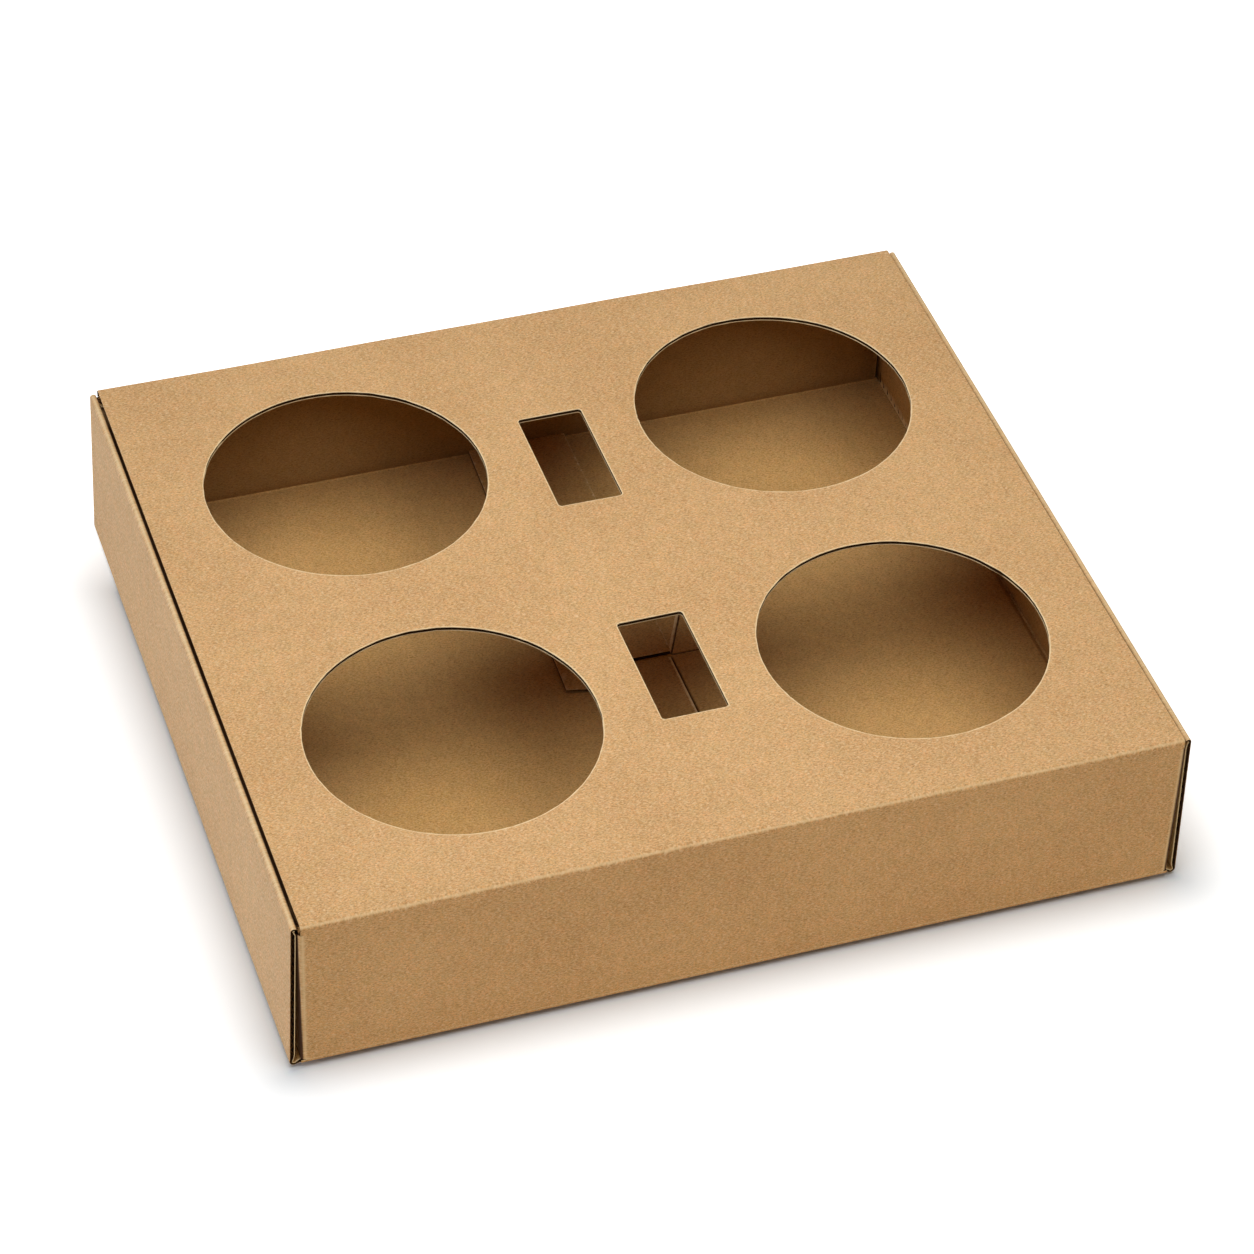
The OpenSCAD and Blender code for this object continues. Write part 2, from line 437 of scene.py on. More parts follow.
def withEdges(a, b, step):
    middle = spaced(a + rims[-1], b - rims[-1], step)[1:-1]
    return [a] + [a + r for r in rims] + middle + [b - r for r in rims[::-1]] + [b]


def uniqueSorted(values):
    return list(np.unique(np.round(values, 5)))


def bothSides(values):
    return list(values) + [-v for v in values]


def arcLine(cx, cy, r, a0, a1, n):
    return [(cx + r * math.cos(a), cy + r * math.sin(a)) for a in np.radians(np.linspace(a0, a1, n))]


def lineBetween(a, b, step):
    n = max(1, int(round(math.dist(a, b) / step)))
    return [tuple(np.array(a) + (np.array(b) - a) * i / n) for i in range(1, n)]


# Rounded rectangle as a loop; step is the spacing on its straight runs
def roundedLoop(cx, cy, w, h, r, n, step):
    loop = []
    for sx, sy, a in ((1, 1, 0), (-1, 1, 90), (-1, -1, 180), (1, -1, 270)):
        corner = arcLine(cx + sx * (w / 2 - r), cy + sy * (h / 2 - r), r, a, a + 90, n)
        if loop:
            loop += lineBetween(loop[-1], corner[0], step)
        loop += corner
    return loop + lineBetween(loop[-1], loop[0], step)


def roundedDistance(x, y, w, h, r):
    qx, qy = np.abs(x) - (w / 2 - r), np.abs(y) - (h / 2 - r)
    return np.hypot(np.maximum(qx, 0), np.maximum(qy, 0)) + np.minimum(np.maximum(qx, qy), 0) - r


# The top panel's cut-outs
cupHole = {"diameter": 80.5, "x": 64.25, "y": 53.0, "segments": 176}
fingerSlot = {"width": 19.0, "length": 40.0, "y": 45.75, "radius": 1.0, "step": 2.0}
holes = [(x * cupHole["x"], y * cupHole["y"]) for x in (-1, 1) for y in (-1, 1)]
slots = [(0.0, y * fingerSlot["y"]) for y in (-1, 1)]
holeR = cupHole["diameter"] / 2


# A slot's width, length and corner radius, larger all round by some
def slotSize(grow=0.0):
    return fingerSlot["width"] + 2 * grow, fingerSlot["length"] + 2 * grow, fingerSlot["radius"] + grow


def topGap(u, y):
    gap = np.full(np.shape(u), 1e3)
    for cx, cy in holes:
        gap = np.minimum(gap, np.hypot(u - cx, y - cy) - holeR)
    for cx, cy in slots:
        gap = np.minimum(gap, roundedDistance(u - cx, y - cy, *slotSize()))
    return gap


# Die-cut rims wander a few hundredths of a millimetre
def rimWander(angle, seed):
    waves = ((3, 1.0), (7, 0.7), (16, 0.6), (29, 0.5))
    return edgeFinish["wobble"] * sum(a * np.sin(k * angle + seed * (k + 1.7)) for k, a in waves)


scoreEdge = bentFrom - carton["scoreReach"]
innerCols = uniqueSorted(spaced(-scoreEdge, scoreEdge, grid) + [-bentFrom, bentFrom])
floorEdge = [halfW - r for r in (0, 0.16, 0.5, 1.0)]
lidEdge = [lidHalf - r for r in (0, 0.16, 0.4)]
floorCols = uniqueSorted(innerCols + bothSides(floorEdge))
lidCols = uniqueSorted(innerCols + bothSides(lidEdge))


def topPatch():
    lo, hi = topStart, topStart + topFlat
    besideFolds = [lo + 0.6, lo + 2, hi - 2, hi - 0.6]
    sides = uniqueSorted([lo, hi] + besideFolds + spaced(lo + edgeGrid, hi - edgeGrid, wallGrid))[1:-1]
    loops, extra = [panelBorder(lidCols, lidHalf, sides, lo, hi)], []
    angles = np.linspace(0, 2 * math.pi, cupHole["segments"], endpoint=False)
    for n, (cx, cy) in enumerate(holes):
        for gap in (0.0, *rims):
            r = holeR + gap + rimWander(angles, n) * (1 - gap / rims[-1])
            loops.append(list(zip(cx + r * np.cos(angles), onTop(cy) + r * np.sin(angles))))
    for cx, cy in slots:
        for gap in (0.0, *rims):
            loops.append(roundedLoop(cx, onTop(cy), *slotSize(gap), arcPoints, fingerSlot["step"]))
    for r in rims:
        extra += [(sx * (lidHalf - r), s) for s in sides for sx in (-1, 1)]
    for s in besideFolds:
        extra += [(u, s) for u in lidCols if abs(u) < lidHalf - 2]
    gridU = spaced(-lidHalf + edgeGrid, lidHalf - edgeGrid, grid)
    gu, gs = np.meshgrid(gridU, spaced(lo + grid, hi - grid, grid))
    far = topGap(gu, onTop(0) - gs) > 3.6  # clear of the rims' own points
    extra += list(zip(gu[far], gs[far]))
    return filledPatch(loops, extra, lambda c: topGap(c[0], onTop(0) - c[1]) > -0.06)


# The front or back panel with its two dust flaps
def wallPatches(onWall):
    rows = [radius, radius + 1.5, slitLow, foldLow, dustHigh, foldHigh - 0.8, foldHigh, slitHigh]
    rows = uniqueSorted(rows + spaced(foldLow, dustHigh, wallGrid) + [carton["height"] - radius])
    bentRows = [z for z in rows if foldLow <= z <= foldHigh]
    root = [(bendEnd, z) for z in bentRows if z <= dustHigh + tiny][::-1]
    outline = root + lineBetween(root[-1], (dustTip - dustR, dustLow), edgeGrid)
    outline += arcLine(dustTip - dustR, dustLow + dustR, dustR, -90, 0, arcPoints)
    outline += lineBetween(outline[-1], (dustTip, dustHigh - dustR), edgeGrid)
    outline += arcLine(dustTip - dustR, dustHigh - dustR, dustR, 0, 90, arcPoints)
    outline += lineBetween(outline[-1], root[0], edgeGrid)
    gridZ = spaced(dustLow + grid, dustHigh - grid, grid)
    inside = [(u, z) for u in spaced(bendEnd + grid, dustTip - grid, grid) for z in gridZ]
    parts = (
        ([bentFrom] + floorEdge, [z for z in rows if z < foldLow]),
        ([bentFrom] + lidEdge, [z for z in rows if z > foldHigh]),
        (cornerCols, bentRows),
    )
    patches = [gridPatch(innerCols, sorted(onWall(z) for z in rows))]
    for side in (-1, 1):
        for cols, zs in parts:
            patches.append(gridPatch(sorted(side * c for c in cols), sorted(onWall(z) for z in zs)))
        loop, extra = ([(side * u, onWall(z)) for u, z in some] for some in (outline, inside))
        patches.append(filledPatch([loop], extra))
    return patches


def bendRows(start):
    return list(np.linspace(start, start + bendLength, foldSteps + 1))


def floorPatch():
    lo, hi = floorStart, floorStart + topFlat
    rows = uniqueSorted([lo, lo + 1.5] + spaced(lo + edgeGrid, hi - edgeGrid, grid) + [hi - 1.5, hi])
    gu, gs = (g.ravel() for g in np.meshgrid(innerCols[1:-1], rows[2:-2]))
    clear = np.ones(len(gu), bool)
    lines = []
    for line in floorLines:
        start, end = np.array(line["from"]), np.array(line["to"])
        ahead = (end - start) / math.dist(start, end)
        for offset in lineForm["offsets"]:
            side = offset * np.array((ahead[1], -ahead[0]))
            a, b = start + side, end + side
            middle = lineBetween(tuple(a + ahead), tuple(b - ahead), wallGrid)
            lines.append([(x, onFloor(y)) for x, y in [a, a + ahead] + middle + [b - ahead, b]])
        across, fade = lineFrame(line, gu, gs - onFloor(0))
        clear &= (np.abs(across) > lineForm["clear"]) | (fade <= 0)
    border = panelBorder(floorCols, halfW, rows[1:-1], lo, hi)
    return filledPatch([border], list(zip(gu[clear], gs[clear])), lines=lines)


def sleeveSheet():
    patches = [topPatch(), floorPatch()] + wallPatches(onFront) + wallPatches(onBack)
    for start, cols in zip(longFolds, (lidCols, lidCols, floorCols, floorCols)):
        patches.append(gridPatch(cols, bendRows(start)))
    return joinPatches(patches, around)


# Paint for the deep shadow in the slits beside the dust flaps: share of the fold that stays light at the
# right, and at the left at the bottom and the top; how far the paint runs on and fades
slitShadow = {"right": 0.1, "left": (0.25, 0.65), "edge": 0.12, "reach": 5.5, "fade": 2.0}


def sleeveMarks(u, s):
    wide = np.abs(u)
    point, normal = followPath(ring, s)
    z = point[:, 1]
    upright, bent = wallPlaces(point, normal)
    onLid = (s > topStart - slack) & (s < topStart + topFlat + slack)
    gap = np.where(onLid, topGap(u, onTop(0) - s), 1e3)
    high = (s > onBack(foldHigh)) & (s < onFront(foldHigh))
    rawEdge = np.where(high, lidHalf, halfW) - wide + edgeFinish["rawLess"]
    gap = np.where((s < floorStart - slack) & ~bent, np.minimum(gap, rawEdge), gap)
    run = 80.0  # of a rounded oblong that ends where the dust flap does
    dustSize = run, dustHigh - dustLow, dustR
    spread = roundedDistance(wide - dustTip + run / 2, z - (dustLow + dustHigh) / 2, *dustSize)
    gap = np.where(bent & (wide > bendEnd), np.minimum(gap, edgeFinish["dustLess"] - spread), gap)
    reach = bendLength / 2 + edgeFinish["wearHighlightReach"]
    wearHighlight = np.where(bent, np.clip(1 - np.abs(wide - bentFrom) / reach, 0, 1), 0.0)
    for start, share in zip(longFolds, edgeFinish["wearHighlightAt"]):
        wearHighlight = np.maximum(wearHighlight, np.clip(1 - ringGap(s, start + share * bendLength) / reach, 0, 1))
    low, top = slitShadow["left"]
    light = np.where(u > 0, slitShadow["right"], low + (top - low) * z / carton["height"])
    turned = np.clip(((wide - bentFrom) / cornerLength - light) / slitShadow["edge"], 0, 1)
    ending = np.clip((bendEnd + slitShadow["reach"] - wide) / slitShadow["fade"], 0, 1)
    shade = np.where(bent, turned * ending, 0.0)
    for line in floorLines:
        across, fade = lineFrame(line, u, s - onFloor(0))
        pressed = (s > floorStart) & (fade > 0)
        # Painted shade at the bottom of each groove, painted highlight on a raised lip
        lipHighlight = pressed & (np.abs(across - lineForm["paleAt"]) < lineForm["paleHalf"])
        gap = np.where(lipHighlight & (line["lip"] > lineForm["paleLip"]), lineForm["paleGap"], gap)
        shade = np.where(pressed & (np.abs(across) < lineForm["darkHalf"]), 1.0, shade)
    wall = 1.0 * (upright & (wide < bentFrom))
    return {"cutEdgeHighlight": paleCut(gap), "foldWearHighlight": wearHighlight, "shade": shade, "wall": wall}


# End flaps, in (distance from the sleeve along the board, y)
endFlap = {
    "halfWidth": 112.0,
    "bulge": 32.0,  # degrees by which the bottom turns down before the hinge fold
    "bulgeRadius": 1.8,
    "hingeRadius": 1.3,
    "foldRadius": 0.95,
    "lean": 1.45,  # degrees
    "rise": 48.24,  # flat height between its two folds
    "dive": 74.0,  # degrees by which the tongue slopes at the lid's edge, and beyond it
    "droop": 13.3,
    "diveLength": 1.0,
    "diveRadius": 1.5,
    "tongue": 16.0,
    "tongueRoot": 110.0,
    "tongueTip": 103.0,
    "tongueRadius": 5.0,
    "hingeLead": 1.0,
}
flapHalf = endFlap["halfWidth"]
tongueLong, tongueR = endFlap["tongue"], endFlap["tongueRadius"]
tongueRoot, tongueTip = endFlap["tongueRoot"], endFlap["tongueTip"]
tongueSlope = (tongueRoot - tongueTip) / (tongueLong - tongueR)
diveTurn = endFlap["dive"] - endFlap["droop"]
diveArc = math.radians(diveTurn) * (endFlap["diveRadius"] + board / 2)
endPath = makePath(
    (halfW, 0.0), 0,
    [
        ("bend", -endFlap["bulge"], endFlap["bulgeRadius"]),
        ("bend", endFlap["bulge"] + 90 + endFlap["lean"], endFlap["hingeRadius"]),
        ("flat", endFlap["rise"]),
        ("bend", 90 - endFlap["lean"] + endFlap["dive"], endFlap["foldRadius"]),
        ("flat", endFlap["diveLength"]),
        ("bend", -diveTurn, endFlap["diveRadius"]),
        ("flat", tongueLong - endFlap["diveLength"] - diveArc),
    ],
)
legStarts = [leg["from"] for leg in endPath]
riseStart, foldStart, diveStart = legStarts[2:5]
levelStart = legStarts[6]
tongueEnd = levelStart + endPath[6]["length"]
flapBends = [(legStarts[i], legStarts[i + 1]) for i in (0, 1, 3)]
hingeEnd = riseStart + endFlap["hingeLead"]


def endPlace(side):
    def place(u, s, d):
        point, normal = followPath(endPath, u)
        thick = scoredThickness(endPath, u)
        face = np.stack((side * normal[:, 0], np.zeros(len(u)), normal[:, 1]), 1)
        out = np.stack((side * point[:, 0], s, point[:, 1]), 1)
        return out - face * (d * thick)[:, None], face
    return place


def flapColumns(a, b):
    cols = [a, b]
    for (lo, hi), steps in zip(flapBends, (4, foldSteps + 2, foldSteps + 4)):
        cols += list(np.linspace(lo, hi, steps))
    cols += spaced(riseStart + 2.5, foldStart - 1.6, edgeGrid) + [riseStart + 1, foldStart - 0.6]
    return uniqueSorted([c for c in cols if a - tiny <= c <= b + tiny])


flapRows = uniqueSorted(withEdges(-flapHalf, flapHalf, grid) + [-tongueRoot, tongueRoot])


def tonguePatch():
    corner = diveStart + tongueLong - tongueR
    dive = list(np.linspace(0, levelStart - diveStart, 8)[1:])
    top = [(diveStart + d, tongueRoot - tongueSlope * d) for d in dive]
    top += lineBetween(top[-1], (corner, tongueTip), fineGrid)
    top += arcLine(corner, tongueTip - tongueR, tongueR, 90, 0, 7)
    loop = top + lineBetween(top[-1], (top[-1][0], -top[-1][1]), edgeGrid)
    loop += [(u, -y) for u, y in reversed(top)]
    loop += [(diveStart, y) for y in flapRows if abs(y) <= tongueRoot + tiny]
    extra = [(diveStart + d, y) for d in dive + [5, 8, 12] for y in spaced(-98, 98, grid)]
    return filledPatch([loop[::-1]], extra)


def flapUv(side):
    return lambda h, y: (side * (halfW + h), onFloor(y))


def flapSheet(side, a, b, tongue):
    patches = [gridPatch(flapColumns(a, b), flapRows)] + ([tonguePatch()] if tongue else [])
    return mapSheet(joinPatches(patches), flapUv(side))


# Half width of the tongue at a distance from the sleeve
def tongueHalf(h):
    corner = max(0, tongueR - (tongueEnd - h))
    rounded = tongueR - math.sqrt(max(0, tongueR ** 2 - corner ** 2))
    return tongueRoot - tongueSlope * min(h - diveStart, tongueLong - tongueR) - rounded


# Paint for the shadow under the lid's raw edge: share of the top fold where it starts, at the front and at
# the back, and the y values between which it changes; how far it runs on and fades
foldShadow = {"front": 0.76, "back": 0.88, "turns": (40.0, 110.0), "edge": 0.12, "past": 1.5, "fade": 2.0}


def flapMarks(h, y):
    half = np.array([flapHalf if v <= diveStart + tiny else tongueHalf(v) for v in h])
    gap = np.minimum(half - np.abs(y), tongueEnd - h)
    wearHighlight = np.zeros(len(h))
    for a, b in flapBends[1:]:
        away = np.abs(h - (a + b) / 2) / ((b - a) / 2 + edgeFinish["wearHighlightReach"])
        wearHighlight = np.maximum(wearHighlight, np.clip(1 - away, 0, 1))
    share = np.interp(y, foldShadow["turns"], (foldShadow["front"], foldShadow["back"]))
    dive = np.clip((h - foldStart - share * (diveStart - foldStart)) / foldShadow["edge"], 0, 1)
    shade = dive * np.clip((levelStart + foldShadow["past"] - h) / foldShadow["fade"], 0, 1)
    return {"cutEdgeHighlight": paleCut(gap), "foldWearHighlight": wearHighlight, "shade": shade}


# The lap that is glued down on the floor, with a tab at its left front corner
floorLap = {
    "left": -14.0, "leftBack": -10.2, "right": 20.0, "back": 111.4, "front": 9.0,
    "tabRight": 2.0, "tabFront": 1.5, "tabSlant": -0.2,
    "lift": 0.12,
    "tabShadeShare": 0.5,  # share of the flute side's painted shade kept at the tab, so its cut shows less dark
}
lapLeft, lapRight, lapFront, lapBack = (floorLap[k] for k in ("left", "right", "front", "back"))
tabRight, tabFront = floorLap["tabRight"], floorLap["tabFront"]
lapUvShift = 400.0


def lapPlace(u, s, d):
    out = np.stack((u, s, 2 * board + floorLap["lift"] - d), 1)
    return out, np.tile((0.0, 0.0, 1.0), (len(u), 1))


def lapFrontAt(x):
    return tabFront + floorLap["tabSlant"] * (x - lapLeft) if x < tabRight + tiny else lapFront


def lapLeftAt(y):
    return lapLeft + (floorLap["leftBack"] - lapLeft) * (y - tabFront) / (lapBack - tabFront)


def lapUv(x, y):
    return x + lapUvShift, y


def lapSheet():
    corners = [(floorLap["leftBack"], lapBack), (lapLeft, tabFront), (tabRight, lapFrontAt(tabRight))]
    corners += [(tabRight, lapFront), (lapRight, lapFront), (lapRight, lapBack)]
    loop = []
    for i, c in enumerate(corners):
        loop += [c] + lineBetween(c, corners[(i + 1) % len(corners)], fineGrid)
    gridY = spaced(lapFront + fineGrid, lapBack - fineGrid, grid)
    extra = [(x, y) for x in spaced(-9, lapRight - fineGrid, edgeGrid) for y in gridY]
    sides = spaced(lapFront + 2, lapBack - 2, fineGrid)
    for r in rims:
        extra += [(x, lapFront + r) for x in spaced(tabRight + 2, lapRight - 2, fineGrid)]
        extra += [(x, lapFrontAt(x) + r) for x in spaced(lapLeft + 2, tabRight - 2, fineGrid)]
        extra += [(lapRight - r, y) for y in sides] + [(lapLeftAt(y) + r, y) for y in sides]

    def keep(c):
        return (c[1] > lapFront or c[0] < tabRight) and c[0] > lapLeftAt(c[1])

    return mapSheet(joinPatches([filledPatch([loop], extra, keep)]), lapUv)


def lapMarks(x, y):
    front = np.array([lapFrontAt(v) for v in x])
    gap = np.minimum(np.minimum(x - lapLeftAt(y), lapRight - x), np.abs(y - front)) + edgeFinish["lapLess"]
    none = np.zeros(len(x))
    fluteShadeShare = np.where(x < tabRight, floorLap["tabShadeShare"], 1.0)
    return {"cutEdgeHighlight": paleCut(gap), "foldWearHighlight": none, "shade": none, "fluteShadeShare": fluteShadeShare}


# Fluting: a strip mesh at mid depth, which the node tree waves and thickens
fluting = {
    "pitch": 3.2, "waveHeight": 0.44, "paper": 0.18, "columnsPerPitch": 6, "rowStep": 18.0,
    "recess": 0.7,  # behind a cut
    "sideRecess": 2.0,  # at the lap and the lid's raw sides: flutes, then inner paper
    "innerRecess": 0.4,
    "hardAngle": 50,
    "weld": 0.004,
}
recess, rowStep = fluting["recess"], fluting["rowStep"]


def fluteColumns(a, b, must=()):
    step = fluting["pitch"] / fluting["columnsPerPitch"]
    must = uniqueSorted([a, b] + [m for m in must if a < m < b])
    free = np.arange(math.ceil(a / step), math.floor(b / step) + 1) * step
    free = [c for c in free if a < c < b and min(abs(c - m) for m in must) > 0.15]
    return uniqueSorted(must + free)


# Strips between neighbouring columns, zipped row by row and left out inside the cut-outs
def fluteStrips(columns, ends, rows, cuts=()):
    points, faces = [], []
    for a, b in zip(columns, columns[1:]):
        middle = (a + b) / 2
        hit = sorted((c for c in cuts if abs(middle - c["x"]) < c["half"]), key=lambda c: c["s"])
        chains = []
        for u in (a, b):
            stops = [ends(u)[0]]
            for c in hit:
                reach = c["reach"](u - c["x"])
                stops += [c["s"] - reach, c["s"] + reach]
            stops.append(ends(u)[1])
            chains.append([
                [lo] + [r for r in rows if lo + 0.02 < r < hi - 0.02] + [hi]
                for lo, hi in zip(stops[::2], stops[1::2])
            ])
        for left, right in zip(*chains):
            n, m = len(points), len(points) + len(left)
            points += [(a, s) for s in left] + [(b, s) for s in right]
            i = j = 0
            while i < len(left) - 1 or j < len(right) - 1:
                nextL = left[i + 1] if i < len(left) - 1 else math.inf
                nextR = right[j + 1] if j < len(right) - 1 else math.inf
                if abs(nextL - nextR) < tiny:
                    faces.append((n + i, m + j, m + j + 1, n + i + 1))
                    i, j = i + 1, j + 1
                elif nextL < nextR:
                    faces.append((n + i, m + j, n + i + 1))
                    i += 1
                else:
                    faces.append((n + i, m + j, m + j + 1))
                    j += 1
    return points, faces


# Half height, at x, of a cut-out with straight runs of half w and half h and round corners
def roundReach(w, h, r):
    def reach(x):
        inner = max(0.0, abs(x) - w)
        return h + math.sqrt(max(0.0, r * r - inner * inner))
    return reach


def sleeveFluteSheet():
    r = holeR + recess
    w, h, slotR = slotSize(recess)
    holeCut = {"half": r, "reach": roundReach(0.0, 0.0, r)}
    slotCut = {"half": w / 2, "reach": roundReach(w / 2 - slotR, h / 2 - slotR, slotR)}
    kinds = ((holes, holeCut), (slots, slotCut))
    cuts = [{"x": x, "s": onTop(y), **cut} for some, cut in kinds for x, y in some]
    lidEnd = lidHalf - fluting["sideRecess"]
    must = [c["x"] + k * c["half"] for c in cuts for k in (-1, 1)] + [-bentFrom, bentFrom, -lidEnd, lidEnd]
    columns = fluteColumns(recess - halfW, halfW - recess, must)
    inner = [c for c in columns if abs(c) <= bentFrom + tiny]
    lid = [c for c in columns if abs(c) <= lidEnd + tiny]
    wallZ = uniqueSorted([slitLow, foldLow, foldHigh, slitHigh] + spaced(foldLow, dustHigh, rowStep))
    backTop, frontTop, frontLow, backLow = (bendRows(start) for start in longFolds)
    topRows = [onBack(slitHigh)] + backTop + spaced(topStart + grid, topStart + topFlat - grid, rowStep)
    topRows += [c["s"] for c in cuts]
    topRows += [onTop(y) + k * (h / 2 - slotR) for x, y in slots for k in (-1, 1)]
    topRows += frontTop + [onFront(slitHigh)]
    lowRows = [onFront(slitLow)] + frontLow + spaced(floorStart + grid, floorStart + topFlat - grid, rowStep)
    lowRows += backLow + [around + onBack(slitLow)]
    patches = []
    for cols, rows in (
        (lid, topRows), (columns, lowRows),
        (inner, [onFront(z) for z in wallZ]), (inner, [onBack(z) for z in wallZ]),
    ):
        rows = uniqueSorted(rows)
        patches.append(fluteStrips(cols, lambda u: (rows[0], rows[-1]), rows, cuts if cols is lid else ()))
    tip = dustTip - recess
    flatCols = [bendEnd] + [c for c in fluteColumns(bendEnd, tip)[1:] if c - bendEnd > 0.1]

    def flatEnds(u):
        past = max(0.0, abs(u) - (tip - dustR))
        cut = dustR - math.sqrt(max(0.0, dustR * dustR - past * past)) + recess
        return dustLow + cut, dustHigh - cut

    for onWall in (onFront, onBack):
        rows = uniqueSorted([onWall(z) for z in wallZ])
        for side in (-1, 1):
            for cols, heights in ((cornerCols, lambda u: (foldLow, foldHigh)), (flatCols, flatEnds)):
                def ends(u):
                    return sorted(onWall(z) for z in heights(u))
                patches.append(fluteStrips(sorted(side * c for c in cols), ends, rows))
    return joinPatches(patches, around)


# Share of the wave that is left where the board is scored or pressed
crushed = {"sleeveFold": 0.5, "line": 0.2, "flapFold": 0.4}


def sleeveCrush(u, s):
    onBottom = (s > floorStart) & (s < floorStart + topFlat)
    reach = carton["scoreReach"]
    corner = np.abs(np.abs(u) - bentFrom - cornerLength / 2) < cornerLength / 2 + reach
    folded = corner & (s < floorStart)
    for start in longFolds:
        folded |= ringGap(s, start + bendLength / 2) < bendLength / 2 + reach
    crush = np.where(folded, crushed["sleeveFold"], 1.0)
    for line in floorLines:
        across, fade = lineFrame(line, u, s - onFloor(0))
        pressed = onBottom & (np.abs(across) < lineForm["crushed"]) & (fade > 0)
        crush = np.where(pressed, crushed["line"], crush)
    return crush


def tongueEnds(h):
    half = tongueHalf(h) - recess
    return -half, half


def flapFluteSheet(side, a, b, tongue):
    bends = [h for lo, hi in flapBends for h in np.linspace(lo, hi, foldSteps + 2)]
    half = flapHalf - recess
    rows = uniqueSorted(spaced(-half, half, rowStep))
    patches = [fluteStrips(fluteColumns(a, b, bends), lambda h: (-half, half), rows)]
    if tongue:
        patches.append(fluteStrips(fluteColumns(b, tongueEnd - recess), tongueEnds, rows))
    return mapSheet(joinPatches(patches), flapUv(side), side < 0)


def flapCrush(h, y):
    reach = carton["scoreReach"]
    folded = (h < riseStart + reach) | ((h > foldStart - reach) & (h < diveStart + reach))
    return np.where(folded, crushed["flapFold"], 1.0)


def lapFluteSheet():
    grow = fluting["sideRecess"]
    rows = uniqueSorted(spaced(lapFront + 4, lapBack - 4, rowStep))
    corner = tabRight - grow
    leftBack = floorLap["leftBack"]

    def tabEnds(x):
        run = min(1.0, max(0.0, (x - grow - lapLeft) / (leftBack - lapLeft)))
        return lapFrontAt(x) + fluting["innerRecess"], tabFront + run * (lapBack - tabFront) - grow

    left = fluteStrips(fluteColumns(lapLeft + 2 * grow, corner, [leftBack + grow]), tabEnds, rows)
    mainCols = fluteColumns(corner, lapRight - grow)
    main = fluteStrips(mainCols, lambda x: (lapFront + grow, lapBack - grow), rows)
    return mapSheet(joinPatches([left, main]), lapUv, True)


# Sets sockets, given by name or number, to values or to other nodes' outputs
def setSockets(tree, node, sockets):
    for key, value in sockets.items():
        if isinstance(value, bpy.types.NodeSocket):
            tree.links.new(value, node.inputs[key])
        else:
            node.inputs[key].default_value = value


# Adds a node and gives one of its outputs, or the node itself if out is None
def addNode(tree, kind, sockets=None, out=0, **settings):
    node = tree.nodes.new(kind)
    for key, value in settings.items():
        setattr(node, key, value)
    setSockets(tree, node, sockets or {})
    return node if out is None else node.outputs[out]


fluteInputs = {"Pitch": "pitch", "Wave Height": "waveHeight", "Paper Thickness": "paper"}


def makeFluteTree(material):
    tree = bpy.data.node_groups.new("flutedPaper", "GeometryNodeTree")
    tree.interface.new_socket("Geometry", in_out="INPUT", socket_type="NodeSocketGeometry")
    for name in fluteInputs:
        tree.interface.new_socket(name, in_out="INPUT", socket_type="NodeSocketFloat")
    tree.interface.new_socket("Geometry", in_out="OUTPUT", socket_type="NodeSocketGeometry")
    given = addNode(tree, "NodeGroupInput", out=None).outputs
    wave, crush, outward = (
        addNode(tree, "GeometryNodeInputNamedAttribute", {"Name": name}, data_type=kind)
        for name, kind in (("across", "FLOAT"), ("crush", "FLOAT"), ("outward", "FLOAT_VECTOR"))
    )
    for operation, value in (
        ("DIVIDE", given["Pitch"]), ("MULTIPLY", 2 * math.pi), ("COSINE", 0.0),
        ("MULTIPLY", given["Wave Height"]), ("MULTIPLY", crush),
    ):
        wave = addNode(tree, "ShaderNodeMath", {0: wave, 1: value}, operation=operation)
    offset = addNode(tree, "ShaderNodeVectorMath", {0: outward, "Scale": wave}, operation="SCALE")
    waved = addNode(tree, "GeometryNodeSetPosition", {"Geometry": given["Geometry"], "Offset": offset})
    sockets = {"Mesh": waved, "Offset Scale": given["Paper Thickness"], "Individual": False}
    far = addNode(tree, "GeometryNodeExtrudeMesh", sockets, "Mesh", mode="FACES")
    near = addNode(tree, "GeometryNodeFlipFaces", {"Mesh": waved})
    both = addNode(tree, "GeometryNodeJoinGeometry", out=None)
    tree.links.new(near, both.inputs[0])
    tree.links.new(far, both.inputs[0])
    shape = both.outputs[0]
    for kind, sockets in (
        ("GeometryNodeMergeByDistance", {"Distance": fluting["weld"] * metre}),
        ("GeometryNodeSetShadeSmooth", {"Shade Smooth": True}),
        ("GeometryNodeRealizeInstances", {}),
        ("GeometryNodeSetMaterial", {"Material": material}),
    ):
        shape = addNode(tree, kind, {"Geometry": shape, **sockets})
    addNode(tree, "NodeGroupOutput", {"Geometry": shape}, None)
    return tree


def flutePiece(name, sheet, place, crush, tree):
    u, s = sheet["points"].T
    points, face = place(u, s, np.full(len(u), board / 2 - fluting["paper"] / 2))
    marks = {"across": u * metre, "crush": crush(u, s), "outward": face}
    piece = linkObject(name, sheetMesh(name, points, sheet["faces"], sheet["uv"], marks))
    waves = piece.modifiers.new("flutes", "NODES")
    waves.node_group = tree
    for socket in tree.interface.items_tree:
        if socket.in_out == "INPUT" and socket.name in fluteInputs:
            waves[socket.identifier] = fluting[fluteInputs[socket.name]] * metre
    baked = bpy.data.meshes.new_from_object(piece.evaluated_get(bpy.context.evaluated_depsgraph_get()))
    piece.modifiers.remove(waves)
    piece.data = baked
    baked.name = name
    for key in marks:
        baked.attributes.remove(baked.attributes[key])
    hardenEdges(baked, fluting["hardAngle"])
    return piece


